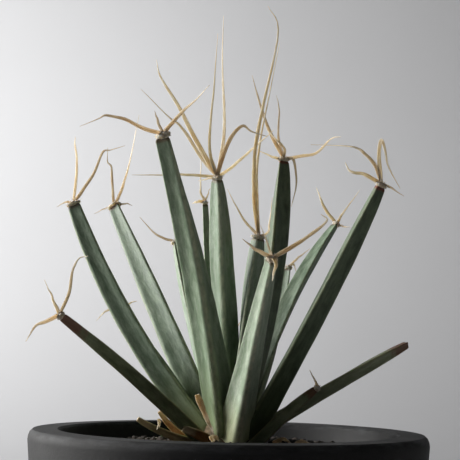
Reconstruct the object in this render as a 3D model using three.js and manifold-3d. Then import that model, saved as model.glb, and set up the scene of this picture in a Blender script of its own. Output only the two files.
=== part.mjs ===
// A prism cactus in a round thick-rimmed pot: a rosette of long three-sided tubercles,
// each ending in a woolly areole with papery spines.
// Millimetres, +Z up. The origin is under the middle of the pot's foot, and -Y is the front.
import * as THREE from 'three';
import { mergeVertices } from 'three/addons/utils/BufferGeometryUtils.js';
import Module from 'manifold-3d';

const wasm = await Module();
wasm.setup();

// Pot
const potHeight = 125;
const rimRadius = 74; // the widest radius, just under the shoulder
const rimWidth = 9.7; // flat top of the rim
const shoulderWidth = 1.7; // the soft edge outside the flat top
const shoulderDrop = 3.6;
const potTaper = 11; // how much smaller the foot's radius is
const wallThickness = 9; // at the floor
const floorThickness = 7;
const footHeight = 2.5;
const footWidth = 9;
const drainRadius = 8;
const edgeEase = 0.8; // small chamfer on the other edges

// Soil
const soilDrop = 9; // from the rim down to the soil at the wall
const moundDrop = 4; // from the rim down to the soil at the neck

// Plant
const stemRadius = 10.5; // at the neck
const stemTopRadius = 6;
const stemRise = 14; // top of the stem above the rim
const rootLength = 62; // below the neck
const rootTipRadius = 1.5;
const baseDepth = 1.5; // how far a tubercle's centre line starts inside the stem's surface
const sectionDepth = 0.86; // a tubercle's depth as a share of its width
const flareFade = 6; // how soon the base's flare dies out
const edgeRound = 0.2; // how much of each side the two inner edges' rounding takes
const keelRound = 0.34; // the same for the keel
const padThickness = 1.7; // areole
const padShare = 0.4; // its radius as a share of the tubercle's tip
const spineFlatness = 0.45; // a spine's thickness as a share of its width

// Fits
const clearance = 0.3; // between neighbours that touch

const roundSteps = 64;
const stemSteps = 24;
const ringPlaces = [0, 0.1, 0.22, 0.36, 0.5, 0.64, 0.78, 0.9, 0.97, 1];
const spineSteps = 2; // rings for each leg of a spine

const plasticDark = { color: 0x2e2f31, roughness: 0.75, metalness: 0 };
const soilDark = { color: 0x1d1713, roughness: 1, metalness: 0 };
const stemBrown = { color: 0x6b5a42, roughness: 0.9, metalness: 0 };
const tubercleGreen = { color: 0x6f8468, roughness: 0.6, metalness: 0 };
const oldTubercle = { color: 0x5c5a42, roughness: 0.75, metalness: 0 };
const dryTan = { color: 0xa58b62, roughness: 0.85, metalness: 0 };
const spineStraw = { color: 0xc9b28a, roughness: 0.7, metalness: 0 };

// Each tubercle: where it leaves the stem (heading in degrees from +X towards +Y, rise in mm
// from the rim's level), how it leans from upright at its base and tip, how far its heading
// turns, its length and width, its twist about its own line at base and tip, its width at the
// tip as a share of the full width, how far up it stays full, the flare of its base, and for one
// that starts deeper in the stem by how much (inset).
// Each of its spines has its width and the points it passes, in mm from the areole.
const tubercles = [
  {
    name: '01', heading: 226, turn: 0, lean: [54, 60], rise: -7, length: 84, width: 6.6,
    twist: [1, -3], tip: 0.56, fullness: 3, flare: 0.5, look: oldTubercle,
    spines: [
      { width: 1.6, points: [[-2, -1, 5], [-5, -2, 11]] },
      { width: 1.3, points: [[3, -1, 7], [4, -2, 14], [6, -3, 18], [9, -3, 19]] },
      { width: 1.7, points: [[-3, -2, -2], [-7, -3, -4], [-10, -3, -9]] },
    ],
  },
  {
    name: '02', heading: 176, turn: -2, lean: [42, 22], rise: -1.5, length: 102, width: 11,
    twist: [11, 25], tip: 0.6, fullness: 3.5, flare: 0.5, look: tubercleGreen,
    spines: [
      { width: 1.3, points: [[1, -1, 13], [0, -2, 23], [0, -2, 26]] },
      { width: 1.6, points: [[3, 2, 5], [7, 3, 12], [10, 4, 21], [13, 4, 22], [19, 4, 24]] },
      { width: 1.2, points: [[-3, -1, 0], [-6, -2, -2]] },
    ],
  },
  {
    name: '03', heading: 139, turn: -2, lean: [32, 34], rise: -1.5, length: 109, width: 13.2,
    twist: [53, 42], tip: 0.52, fullness: 2.5, flare: 0, look: tubercleGreen,
    spines: [
      { width: 1.4, points: [[-1, 1, 7], [-2, 2, 17], [-4, 3, 20], [-4, 3, 26]] },
      { width: 1.6, points: [[2, 1, 5], [4, 2, 12], [6, 3, 22], [9, 4, 41]] },
      { width: 1.2, points: [[-4, 2, -1], [-9, 4, -3]] },
      { width: 1, points: [[5, -1, 1], [8, -2, 0]] },
    ],
  },
  {
    name: '04', heading: 115, turn: 0, lean: [37, 30], rise: 0, length: 91, width: 8.4,
    twist: [17, 20], tip: 0.48, fullness: 5.5, flare: 0, look: tubercleGreen,
    spines: [
      { width: 1.4, points: [[-8, 2, 3], [-16, 3, 11]] },
      { width: 1.3, points: [[3, -2, 0], [5, -3, -6], [5, -3, -13]] },
    ],
  },
  {
    name: '05', heading: 249, turn: -3, lean: [23, 36], rise: -1, length: 115, width: 13, inset: 2.5,
    twist: [10, 67], tip: 0.48, fullness: 2, flare: 3.5, look: tubercleGreen,
    spines: [
      { width: 1.7, points: [[-6, -2, 1], [-13, -3, 4], [-19, -3, 5], [-21, -3, 4], [-27, -4, 1]] },
      { width: 1.2, points: [[-2, 0, 5], [-3, 1, 8]] },
      { width: 1.6, points: [[3, 1, 4], [6, 2, 8], [10, 3, 12], [15, 4, 18]] },
    ],
  },
  {
    name: '06', heading: 250, turn: 0, lean: [6, 15], rise: 6, length: 87.5, width: 10.8, inset: 4.5,
    twist: [3, 28], tip: 0.44, fullness: 6.5, flare: 0, look: tubercleGreen,
    spines: [
      { width: 2.1, points: [[-7, 1, 12], [-15, 2, 27], [-22, 3, 38], [-24, 3, 45]] },
      { width: 1.6, points: [[-7, 3, 9], [-14, 5, 20], [-18, 6, 23], [-30, 9, 35]] },
      { width: 1.4, points: [[-3, 0, 12], [-2, 1, 34], [-1, 1, 55]] },
      { width: 1.7, points: [[2, 1, 14], [2, 2, 27], [1, 3, 44], [1, 4, 63]] },
      { width: 2, points: [[2, -1, 8], [5, -1, 15], [9, -2, 19], [12, -2, 17], [18, -3, 15]] },
      { width: 1.4, points: [[5, 3, 4], [11, 5, 10], [17, 7, 16], [21, 8, 20]] },
      { width: 1.3, points: [[-10, 2, 1], [-20, 3, 1], [-32, 5, 1]] },
      { width: 1, points: [[-4, -1, -1], [-7, -2, -2]] },
    ],
  },
  {
    name: '07', heading: 120, turn: -2, lean: [15, 8], rise: 6, length: 84, width: 6,
    twist: [2, -18], tip: 0.46, fullness: 1.5, flare: 0, look: tubercleGreen,
    spines: [
      { width: 1.2, points: [[-2, 1, 6], [-2, 2, 22]] },
      { width: 1, points: [[1, 0, 3], [2, 1, 6]] },
      { width: 1.7, points: [[-3, -1, 0], [-5, -2, -1]] },
    ],
  },
  {
    name: '08', heading: 312, turn: 1, lean: [4, 9], rise: 5.5, length: 66, width: 11,
    twist: [31, 70], tip: 0.58, fullness: 4, flare: 0, look: tubercleGreen,
    spines: [
      { width: 2, points: [[-2, -1, 15], [-2, -2, 30], [1, -2, 50], [6, -3, 78], [2, -3, 88]] },
      { width: 1.6, points: [[-1, 1, 14], [-1, 2, 28], [2, 3, 48], [7, 5, 76]] },
      { width: 1.3, points: [[-6, 2, 7], [-12, 3, 18]] },
      { width: 1.3, points: [[3, 1, 1], [4, 2, 5], [5, 2, 15]] },
    ],
  },
  {
    name: '09', heading: 21, turn: -2, lean: [16, 2], rise: 9.5, length: 96, width: 12.4,
    twist: [25, -21], tip: 0.44, fullness: 5.5, flare: 0, look: tubercleGreen,
    spines: [
      { width: 1.7, points: [[-6, -1, 12], [-10, -2, 23], [-13, -2, 33]] },
      { width: 1.4, points: [[0, -1, 4], [-4, -2, 8], [-7, -3, 11]] },
      { width: 1.6, points: [[-3, -1, 0], [-6, -2, 1], [-11, -3, 3]] },
      { width: 1.3, points: [[-2, 1, 9], [-2, 1, 20], [-3, 2, 26]] },
      { width: 1.7, points: [[5, 1, 1], [13, 2, 3], [19, 2, 9], [23, 3, 10]] },
      { width: 1.4, points: [[4, -2, -1], [5, -4, -10], [3, -6, -20]] },
    ],
  },
  {
    name: '10', heading: 283, turn: 1, lean: [35, 38], rise: -4, length: 78, width: 12.4,
    twist: [-5, -14], tip: 0.38, fullness: 1.5, flare: 6, look: tubercleGreen,
    spines: [
      { width: 1.6, points: [[-6, -1, 3], [-10, -1, 6]] },
      { width: 1.3, points: [[-1, 1, 3], [-4, 2, 11]] },
      { width: 1.7, points: [[7, 0, 4], [14, 1, 9], [18, 1, 13], [16, 1, 15]] },
      { width: 2.1, points: [[1, -3, -2], [0, -4, -8]] },
    ],
  },
  {
    name: '11', heading: 45, turn: -2, lean: [21, 44], rise: 1, length: 99, width: 8.6,
    twist: [28, -3], tip: 0.44, fullness: 4.5, flare: 0, look: tubercleGreen,
    spines: [
      { width: 1.4, points: [[3, 1, 5], [10, 2, 15]] },
      { width: 1.2, points: [[3, 1, -1], [6, 2, -1]] },
      { width: 1.6, points: [[-5, -1, 6], [-7, -1, 11], [-9, -2, 15]] },
    ],
  },
  {
    name: '12', heading: 323, turn: 1, lean: [34, 29], rise: -2.5, length: 105, width: 9.8,
    twist: [31, 38], tip: 0.52, fullness: 6, flare: 3, look: tubercleGreen,
    spines: [
      { width: 1.6, points: [[-2, 0, 6], [-5, 0, 10], [-8, -1, 12], [-12, -1, 13], [-25, -2, 13]] },
      { width: 1.7, points: [[-1, -1, 11], [0, -2, 15], [2, -2, 6], [6, -3, -2]] },
      { width: 1.7, points: [[-6, -1, 3], [-11, -1, 4], [-13, -2, 7]] },
      { width: 1.3, points: [[3, 1, -1], [8, 1, -4]] },
    ],
  },
  {
    name: '13', heading: 15, turn: 3, lean: [59, 63], rise: -2, length: 74, width: 6.8,
    twist: [-30, 2], tip: 0.6, fullness: 7, flare: 1.5, look: oldTubercle, spines: [],
  },
  {
    name: '14', heading: 322, turn: -6, lean: [47, 57], rise: -7.5, length: 39, width: 5.4,
    twist: [4, -2], tip: 0.56, fullness: 5.5, flare: 2, look: oldTubercle,
    spines: [{ width: 1.2, points: [[-1, -1, 2], [-3, -1, 6]] }],
  },
  {
    name: '15', heading: 58, turn: -3, lean: [40, 14], rise: -3, length: 76, width: 7.4,
    twist: [0, 0], tip: 0.5, fullness: 4, flare: 0, look: tubercleGreen,
    spines: [
      { width: 1.3, points: [[4, 1, 4], [9, 1, 8]] },
      { width: 1.3, points: [[2, -1, 1], [3, -2, -2]] },
    ],
  },
  {
    name: '16', heading: 160, turn: 1, lean: [31, 45], rise: -5, length: 62, width: 7.6,
    twist: [0, 0], tip: 0.5, fullness: 4, flare: 0, look: tubercleGreen,
    spines: [
      { width: 1.3, points: [[-4, 0, 0], [-8, 0, -4]] },
      { width: 1.2, points: [[5, -1, 3], [8, -1, 4]] },
    ],
  },
  {
    name: '17', heading: 88, turn: 4, lean: [46, 62], rise: -7, length: 76, width: 8.4,
    twist: [0, 0], tip: 0.5, fullness: 4, flare: 1, look: oldTubercle,
    spines: [
      { width: 1.3, points: [[-3, 2, 2], [-6, 4, 5]] },
      { width: 1.2, points: [[3, 1, 3], [5, 2, 8]] },
    ],
  },
];

// What is left of old tubercles, low on the neck.
const stubs = [
  {
    name: 'stub_1', heading: 224, turn: -40, lean: [84, 60], rise: -5, length: 31, width: 4.4,
    twist: [0, 0], tip: 0.6, fullness: 3, flare: 0, look: dryTan,
  },
  {
    name: 'stub_2', heading: 206, turn: -14, lean: [76, 34], rise: -6, length: 23, width: 3.8,
    twist: [0, 0], tip: 0.6, fullness: 3, flare: 0, look: dryTan,
  },
  {
    name: 'stub_3', heading: 236, turn: -26, lean: [62, 72], rise: -5, length: 17, width: 5.4,
    twist: [0, 0], tip: 0.6, fullness: 3, flare: 0, look: oldTubercle,
  },
];

const radians = THREE.MathUtils.degToRad;
const neckHeight = potHeight - moundDrop;
const stemTop = potHeight + stemRise;
const innerRimRadius = rimRadius - shoulderWidth - rimWidth;
const potBaseRadius = rimRadius - potTaper;
const innerFloorRadius = potBaseRadius - wallThickness;
const floorTop = footHeight + floorThickness;

// A closed solid from a geometry: shared corners are merged and flattened triangles dropped.
function solidFrom(geometry) {
  geometry.deleteAttribute('normal');
  geometry.deleteAttribute('uv');
  const merged = mergeVertices(geometry, 1e-5);
  const corners = merged.index.array;
  const kept = [];
  for (let i = 0; i < corners.length; i += 3) {
    const [a, b, c] = [corners[i], corners[i + 1], corners[i + 2]];
    if (a !== b && b !== c && c !== a) kept.push(a, b, c);
  }
  return new wasm.Manifold(new wasm.Mesh({
    numProp: 3,
    vertProperties: merged.attributes.position.array,
    triVerts: new Uint32Array(kept),
  }));
}

function geometryFrom(solid) {
  const mesh = solid.getMesh();
  const geometry = new THREE.BufferGeometry();
  geometry.setAttribute('position', new THREE.BufferAttribute(mesh.vertProperties, 3));
  geometry.setIndex(new THREE.BufferAttribute(mesh.triVerts, 1));
  geometry.computeVertexNormals();
  return geometry;
}

function node(name, solid, look) {
  const mesh = new THREE.Mesh(geometryFrom(solid), new THREE.MeshStandardMaterial(look));
  mesh.name = name;
  return mesh;
}

// A cut can leave chips beside a piece: the piece itself is the largest part.
function mainBody(solid) {
  const parts = solid.decompose();
  parts.sort((a, b) => b.volume() - a.volume());
  return parts[0];
}

// A closed skin through rings that all have the same number of points.
function loft(rings) {
  const count = rings[0].length;
  const positions = rings.flat().flatMap((p) => [p.x, p.y, p.z]);
  const triangles = [];
  for (let r = 0; r + 1 < rings.length; r += 1) {
    for (let i = 0; i < count; i += 1) {
      const a = r * count + i;
      const b = r * count + (i + 1) % count;
      triangles.push(a, b, b + count, a, b + count, a + count);
    }
  }
  const last = (rings.length - 1) * count;
  for (let i = 1; i + 1 < count; i += 1) {
    triangles.push(0, i + 1, i);
    triangles.push(last, last + i, last + i + 1);
  }
  const geometry = new THREE.BufferGeometry();
  geometry.setAttribute('position', new THREE.Float32BufferAttribute(positions, 3));
  geometry.setIndex(triangles);
  return solidFrom(geometry);
}

// A turned solid from an outline of [radius, height] points.
function turned(outline, steps, closed) {
  const points = outline.map(([radius, height]) => new THREE.Vector2(radius, height));
  if (closed) points.push(points[0].clone());
  const geometry = new THREE.LatheGeometry(points, steps);
  geometry.rotateX(Math.PI / 2);
  return solidFrom(geometry);
}

function innerRadiusAt(height) {
  const share = (height - floorTop) / (potHeight - floorTop);
  return THREE.MathUtils.lerp(innerFloorRadius, innerRimRadius, share);
}

function makePot() {
  return turned([
    [drainRadius, footHeight],
    [potBaseRadius - footWidth, footHeight],
    [potBaseRadius - footWidth, edgeEase],
    [potBaseRadius - footWidth + edgeEase, 0],
    [potBaseRadius - edgeEase, 0],
    [potBaseRadius, edgeEase],
    [rimRadius, potHeight - shoulderDrop],
    [rimRadius - shoulderWidth * 0.35, potHeight - shoulderDrop * 0.35],
    [rimRadius - shoulderWidth, potHeight],
    [innerRimRadius + edgeEase, potHeight],
    [innerRimRadius, potHeight - edgeEase],
    [innerRadiusAt(floorTop + wallThickness), floorTop + wallThickness],
    [innerFloorRadius - wallThickness / 2, floorTop],
    [drainRadius, floorTop],
  ], roundSteps, true);
}

// The soil is mounded: it rises in a low dome from the wall to the plant's neck.
function makeSoilOutline(edge) {
  const rings = 6;
  const outline = [];
  for (let i = 0; i <= rings; i += 1) {
    const share = 1 - i / rings;
    outline.push([edge * share, THREE.MathUtils.lerp(neckHeight, potHeight - soilDrop, share ** 2)]);
  }
  return outline;
}

function makeSoil(cutters) {
  const bottom = floorTop + clearance;
  const low = floorTop + wallThickness;
  const edge = innerRadiusAt(potHeight - soilDrop) - clearance;
  const outline = [
    [0, bottom],
    [innerFloorRadius - wallThickness / 2 - clearance, bottom],
    [innerRadiusAt(low) - clearance, low],
    ...makeSoilOutline(edge),
  ];
  let soil = turned(outline, roundSteps, false);
  for (const cutter of cutters) soil = soil.subtract(cutter);
  return mainBody(soil);
}

function stemRadiusAt(height) {
  const share = THREE.MathUtils.clamp((height - neckHeight) / (stemTop - neckHeight), 0, 1);
  return THREE.MathUtils.lerp(stemRadius, stemTopRadius, share);
}

function makeStem(grow) {
  const dome = stemTopRadius / 3;
  return turned([
    [0, neckHeight - rootLength - grow],
    [rootTipRadius + grow, neckHeight - rootLength - grow],
    [stemRadius * 0.55 + grow, neckHeight - rootLength * 0.6],
    [stemRadius * 0.85 + grow, neckHeight - rootLength * 0.25],
    [stemRadius + grow, neckHeight - rootLength * 0.08],
    [stemRadius + grow, neckHeight],
    [stemRadiusAt(stemTop - dome) + grow, stemTop - dome],
    [stemTopRadius * 0.55 + grow, stemTop - dome * 0.3],
    [0, stemTop + grow],
  ], stemSteps, false);
}

// Unit vectors of a line that leans from upright towards a heading.
function lineFrame(heading, lean, twist) {
  const [h, l] = [radians(heading), radians(lean)];
  const along = new THREE.Vector3(Math.sin(l) * Math.cos(h), Math.sin(l) * Math.sin(h), Math.cos(l));
  const keel = new THREE.Vector3(Math.cos(l) * Math.cos(h), Math.cos(l) * Math.sin(h), -Math.sin(l));
  keel.applyAxisAngle(along, radians(twist));
  const across = new THREE.Vector3().crossVectors(keel, along);
  return { along, keel, across };
}

// The line's points at the given shares of its length, walked in short steps.
function walkLine(spec) {
  const start = potHeight + spec.rise;
  const fromAxis = stemRadiusAt(start) - baseDepth - (spec.inset ?? 0);
  const h = radians(spec.heading);
  const point = new THREE.Vector3(fromAxis * Math.cos(h), fromAxis * Math.sin(h), start);
  const stations = [];
  let reached = 0;
  const steps = 4;
  for (const place of ringPlaces) {
    for (let i = 0; i < steps && place > reached; i += 1) {
      const t = reached + (place - reached) * (i + 0.5) / steps;
      const { along } = frameAt(spec, t);
      point.addScaledVector(along, spec.length * (place - reached) / steps);
    }
    reached = place;
    stations.push({ place, centre: point.clone(), ...frameAt(spec, place) });
  }
  return stations;
}

function frameAt(spec, t) {
  const lean = THREE.MathUtils.lerp(spec.lean[0], spec.lean[1], t);
  const twist = THREE.MathUtils.lerp(spec.twist[0], spec.twist[1], t);
  return lineFrame(spec.heading + spec.turn * t, lean, twist);
}

// Three-sided section: a flat inner face and a keel on the outer side, with rounded edges.
function sectionRing(station, width, depth) {
  const corners = [[-width / 2, -depth / 3], [width / 2, -depth / 3], [0, depth * 2 / 3]];
  const rounds = [edgeRound, edgeRound, keelRound];
  const ring = [];
  corners.forEach(([x, y], i) => {
    const round = rounds[i];
    const [px, py] = corners[(i + 2) % 3];
    const [nx, ny] = corners[(i + 1) % 3];
    const from = [x + (px - x) * round, y + (py - y) * round];
    const to = [x + (nx - x) * round, y + (ny - y) * round];
    const middle = [from[0] / 4 + x / 2 + to[0] / 4, from[1] / 4 + y / 2 + to[1] / 4];
    for (const [a, b] of [from, middle, to]) {
      ring.push(station.centre.clone().addScaledVector(station.across, a).addScaledVector(station.keel, b));
    }
  });
  return ring;
}

function tubercleWidthAt(spec, t) {
  const tapered = spec.width * (1 - (1 - spec.tip) * t ** spec.fullness);
  return tapered + spec.flare * (1 - t) ** flareFade;
}

// Grown by a clearance on every side, it is the cutter that seats its neighbours.
function makeTubercle(spec, grow) {
  const stations = walkLine(spec);
  stations[0].centre.addScaledVector(stations[0].along, -grow);
  stations.at(-1).centre.addScaledVector(stations.at(-1).along, grow);
  const rings = stations.map((station) => {
    const width = tubercleWidthAt(spec, station.place);
    return sectionRing(station, width + grow * 4, width * sectionDepth + grow * 4);
  });
  return loft(rings);
}

// A flat tapering spine through the areole's middle and the given points.
function makeSpine(start, spine) {
  const points = [start, ...spine.points.map(([x, y, z]) => new THREE.Vector3(x, y, z).add(start))];
  const curve = new THREE.CatmullRomCurve3(points, false, 'centripetal');
  const count = spine.points.length * spineSteps;
  const rings = [];
  for (let i = 0; i <= count; i += 1) {
    const t = i / count;
    const along = curve.getTangent(t);
    const side = new THREE.Vector3(0, 1, 0).cross(along).normalize();
    const face = new THREE.Vector3().crossVectors(along, side);
    const half = spine.width / 2 * (1 - 0.8 * t);
    const centre = curve.getPoint(t);
    rings.push([[half, 0], [0, half * spineFlatness], [-half, 0], [0, -half * spineFlatness]].map(
      ([a, b]) => centre.clone().addScaledVector(side, a).addScaledVector(face, b),
    ));
  }
  return loft(rings);
}

// The areole is a low pad on the tubercle's cut-off tip, and its spines grow out of its middle.
function makeSpineCluster(spec) {
  const tip = walkLine(spec).at(-1);
  const radius = spec.width * spec.tip * padShare;
  const pad = new THREE.SphereGeometry(1, 8, 4);
  pad.scale(radius, padThickness / 2, radius);
  pad.applyQuaternion(new THREE.Quaternion().setFromUnitVectors(new THREE.Vector3(0, 1, 0), tip.along));
  const middle = tip.centre.clone().addScaledVector(tip.along, clearance + padThickness / 2);
  pad.translate(middle.x, middle.y, middle.z);
  let cluster = solidFrom(pad);
  for (const spine of spec.spines) cluster = cluster.add(makeSpine(middle, spine));
  return cluster;
}

const plant = new THREE.Group();
const shoots = [...tubercles.map((spec) => ({ ...spec, node: `tubercle_${spec.name}` })),
  ...stubs.map((spec) => ({ ...spec, node: spec.name }))];

// Neighbours press together at the neck: each one is hollowed where an earlier one lies.
const cutters = [makeStem(clearance)];
for (const spec of shoots) {
  let body = makeTubercle(spec, 0);
  for (const cutter of cutters) body = body.subtract(cutter);
  plant.add(node(spec.node, mainBody(body), spec.look));
  cutters.push(makeTubercle(spec, clearance));
}
for (const spec of tubercles) {
  if (spec.spines.length > 0) plant.add(node(`spines_${spec.name}`, makeSpineCluster(spec), spineStraw));
}

const group = new THREE.Group();
group.add(node('pot', makePot(), plasticDark));
group.add(node('potting_soil', makeSoil(cutters), soilDark));
group.add(node('stem', makeStem(0), stemBrown));
group.add(plant);

export default group;
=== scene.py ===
# Prism cactus in a charcoal pot. Sizes are in millimetres in the dictionaries and metres in the scene.
import bpy
import math
import random
from mathutils import Matrix, Quaternion, Vector, noise


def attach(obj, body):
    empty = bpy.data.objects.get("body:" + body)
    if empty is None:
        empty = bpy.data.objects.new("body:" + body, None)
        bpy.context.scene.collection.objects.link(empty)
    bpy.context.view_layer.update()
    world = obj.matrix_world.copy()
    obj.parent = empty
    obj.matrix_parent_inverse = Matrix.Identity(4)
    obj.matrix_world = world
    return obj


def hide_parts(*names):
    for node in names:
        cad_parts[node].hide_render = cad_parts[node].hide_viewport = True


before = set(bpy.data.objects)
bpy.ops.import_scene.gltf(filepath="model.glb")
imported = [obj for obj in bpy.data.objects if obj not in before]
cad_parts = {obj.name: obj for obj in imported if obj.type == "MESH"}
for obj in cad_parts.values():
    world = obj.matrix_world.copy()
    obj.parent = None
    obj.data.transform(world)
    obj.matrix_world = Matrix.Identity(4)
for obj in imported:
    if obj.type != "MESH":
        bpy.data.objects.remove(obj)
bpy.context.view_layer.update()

mm = 0.001
dice = random.Random(11)


# ---- small helpers ----

def shade(hexText):
    # a screen colour such as "5f7660" as the linear colour that shaders use
    parts = [int(hexText[i:i + 2], 16) / 255 for i in (0, 2, 4)]
    return [c / 12.92 if c <= 0.04045 else ((c + 0.055) / 1.055) ** 2.4 for c in parts] + [1]


def mix(a, b, t):
    return a + (b - a) * t


def smoothStep(low, high, value):
    t = min(max((value - low) / (high - low), 0), 1)
    return t * t * (3 - 2 * t)


def deselect():
    if bpy.context.object and bpy.context.object.mode != "OBJECT":
        bpy.ops.object.mode_set(mode="OBJECT")
    bpy.ops.object.select_all(action="DESELECT")


def pick(piece):
    deselect()
    piece.select_set(True)
    bpy.context.view_layer.objects.active = piece


def copyOf(piece, name):
    twin = piece.copy()
    twin.data = piece.data.copy()
    twin.name = name
    twin.data.name = name
    bpy.context.collection.objects.link(twin)
    return twin


def joinPieces(parts, name):
    deselect()
    for part in parts:
        part.select_set(True)
    bpy.context.view_layer.objects.active = parts[0]
    bpy.ops.object.join()
    joined = bpy.context.object
    joined.name = name
    joined.data.name = name
    return joined


def applyModifier(piece, kind, **settings):
    pick(piece)
    modifier = piece.modifiers.new(kind.title(), kind)
    for key, value in settings.items():
        setattr(modifier, key, value)
    bpy.ops.object.modifier_apply(modifier=modifier.name)


def smoothPiece(piece, angle=None):
    pick(piece)
    if angle is None:
        bpy.ops.object.shade_smooth()
    else:
        bpy.ops.object.shade_smooth_by_angle(angle=math.radians(angle))


def tidyPiece(piece, doubles=0.00001):
    # doubles merged, then every face turned outwards
    pick(piece)
    bpy.ops.object.mode_set(mode="EDIT")
    bpy.ops.mesh.select_all(action="SELECT")
    bpy.ops.mesh.remove_doubles(threshold=doubles)
    bpy.ops.mesh.normals_make_consistent(inside=False)
    bpy.ops.object.mode_set(mode="OBJECT")


# ---- shader helpers ----

def newMaterial(name):
    material = bpy.data.materials.new(name)
    material.use_nodes = True
    tree = material.node_tree
    return material, tree, tree.nodes["Principled BSDF"]


def addNode(tree, kind, inputs=None, **settings):
    node = tree.nodes.new("ShaderNode" + kind)
    for key, value in settings.items():
        setattr(node, key, value)
    for key, value in (inputs or {}).items():
        node.inputs[key].default_value = value
    return node


def objectSpace(tree):
    return addNode(tree, "TexCoord").outputs["Object"]


def ownAttribute(tree, name, output="Vector"):
    return addNode(tree, "Attribute", attribute_name=name).outputs[output]


def stretched(tree, vector, scale):
    mapping = addNode(tree, "Mapping", {"Scale": scale})
    tree.links.new(vector, mapping.inputs["Vector"])
    return mapping.outputs["Vector"]


def noiseFrom(tree, vector, scale, detail=3, rough=0.5):
    node = addNode(tree, "TexNoise", {"Scale": scale, "Detail": detail, "Roughness": rough})
    tree.links.new(vector, node.inputs["Vector"])
    return node.outputs["Fac"]


def ramp(tree, factor, stops):
    # stops: (place, colour or grey)
    node = addNode(tree, "ValToRGB")
    elements = node.color_ramp.elements
    while len(elements) < len(stops):
        elements.new(0.5)
    for element, (place, colour) in zip(elements, stops):
        element.position = place
        element.color = colour if isinstance(colour, list) else [colour, colour, colour, 1]
    tree.links.new(factor, node.inputs["Fac"])
    return node.outputs["Color"]


def blendColours(tree, factor, first, second, mode="MIX"):
    node = addNode(tree, "Mix", data_type="RGBA", blend_type=mode)
    for socket, value in ((node.inputs[0], factor), (node.inputs[6], first), (node.inputs[7], second)):
        if isinstance(value, bpy.types.NodeSocket):
            tree.links.new(value, socket)
        else:
            socket.default_value = value
    return node.outputs[2]


def maths(tree, operation, first, second=0.0):
    node = addNode(tree, "Math", operation=operation)
    for socket, value in zip(node.inputs, (first, second)):
        if isinstance(value, bpy.types.NodeSocket):
            tree.links.new(value, socket)
        else:
            socket.default_value = value
    return node.outputs[0]


def addBump(tree, shader, height, distance, strength=1.0):
    node = addNode(tree, "Bump", {"Distance": distance, "Strength": strength})
    tree.links.new(height, node.inputs["Height"])
    tree.links.new(node.outputs["Normal"], shader.inputs["Normal"])


# ---- camera, floor and light ----

view = dict(place=(-1.1, -400, 149), lookUp=7.35, roll=1.18, lens=82.3)
room = dict(width=5.0, front=-2.2, back=1.5, height=2.6, coveWidth=0.5, colour="c9c9ca")


def makeCamera():
    bpy.ops.object.camera_add(location=[c * mm for c in view["place"]])
    camera = bpy.context.object
    camera.name = "viewer"
    turn = Matrix.Rotation(math.radians(90 + view["lookUp"]), 4, "X")
    turn = turn @ Matrix.Rotation(math.radians(view["roll"]), 4, "Z")
    camera.rotation_euler = turn.to_euler()
    camera.data.lens = view["lens"]
    camera.data.sensor_width = 36
    camera.data.clip_start = 0.01
    bpy.context.scene.camera = camera


def makeRoom():
    # a pale floor that runs up into a plain wall behind
    deselect()
    bpy.ops.mesh.primitive_plane_add(size=1)
    floor = bpy.context.object
    floor.name = "paleRoom"
    floor.scale = (room["width"], room["back"] - room["front"], 1)
    floor.location = (0, (room["back"] + room["front"]) / 2, 0)
    bpy.ops.object.transform_apply(location=True, rotation=False, scale=True)
    for edge in floor.data.edges:
        edge.select = all(floor.data.vertices[i].co.y > 0 for i in edge.vertices)
    for face in floor.data.polygons:
        face.select = False
    bpy.ops.object.mode_set(mode="EDIT")
    bpy.ops.mesh.select_mode(type="EDGE")
    bpy.ops.mesh.extrude_region_move(TRANSFORM_OT_translate={"value": (0, 0, room["height"])})
    bpy.ops.object.mode_set(mode="OBJECT")
    applyModifier(floor, "BEVEL", width=room["coveWidth"], segments=16, limit_method="ANGLE")
    smoothPiece(floor)
    material, tree, shader = newMaterial("palePaint")
    tint = noiseFrom(tree, objectSpace(tree), 3, 2)
    colour = blendColours(tree, tint, shade(room["colour"]), shade("c3c3c4"))
    tree.links.new(colour, shader.inputs["Base Color"])
    shader.inputs["Roughness"].default_value = 0.9
    floor.data.materials.append(material)


def makeLight(name, place, target, size, power, spread, colour):
    bpy.ops.object.light_add(type="AREA", location=place)
    lamp = bpy.context.object
    lamp.name = name
    lamp.data.shape = "RECTANGLE"
    lamp.data.size, lamp.data.size_y = size
    lamp.data.energy = power
    lamp.data.spread = math.radians(spread)
    lamp.data.color = colour
    aim = Vector(target) - Vector(place)
    lamp.rotation_euler = aim.to_track_quat("-Z", "Y").to_euler()
    lamp.visible_camera = False


def makeLights():
    # a broad window on the left, a little behind the plant, and a weak one on the left in front
    makeLight("window", (-1.1, 0.25, 0.56), (0, 0, 0.19), (0.8, 0.7), 4.9, 64, (1, 0.99, 0.97))
    makeLight("roomSide", (-0.85, -0.55, 0.65), (0, 0, 0.2), (0.8, 0.8), 0.15, 80, (0.98, 0.99, 1))
    makeLight("wallWash", (-1.5, 0.3, 0.7), (-0.1, 1.5, 0.45), (0.8, 0.8), 16.5, 100, (1, 1, 1))
    world = bpy.data.worlds.new("paleAir")
    world.use_nodes = True
    tree = world.node_tree
    air = tree.nodes["Background"]
    air.inputs["Color"].default_value = (0.9, 0.92, 0.95, 1)
    # what is beyond the room is pale, but gives little light
    seen = addNode(tree, "LightPath").outputs["Is Camera Ray"]
    strength = maths(tree, "ADD", maths(tree, "MULTIPLY", seen, 0.7), 0.012)
    tree.links.new(strength, air.inputs["Strength"])
    bpy.context.scene.world = world
    bpy.context.scene.view_settings.view_transform = "Standard"


makeCamera()
makeRoom()
makeLights()
print("camera, room and lights are in place")


# ---- shafts: one straight template, bent along each natural line ----

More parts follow.
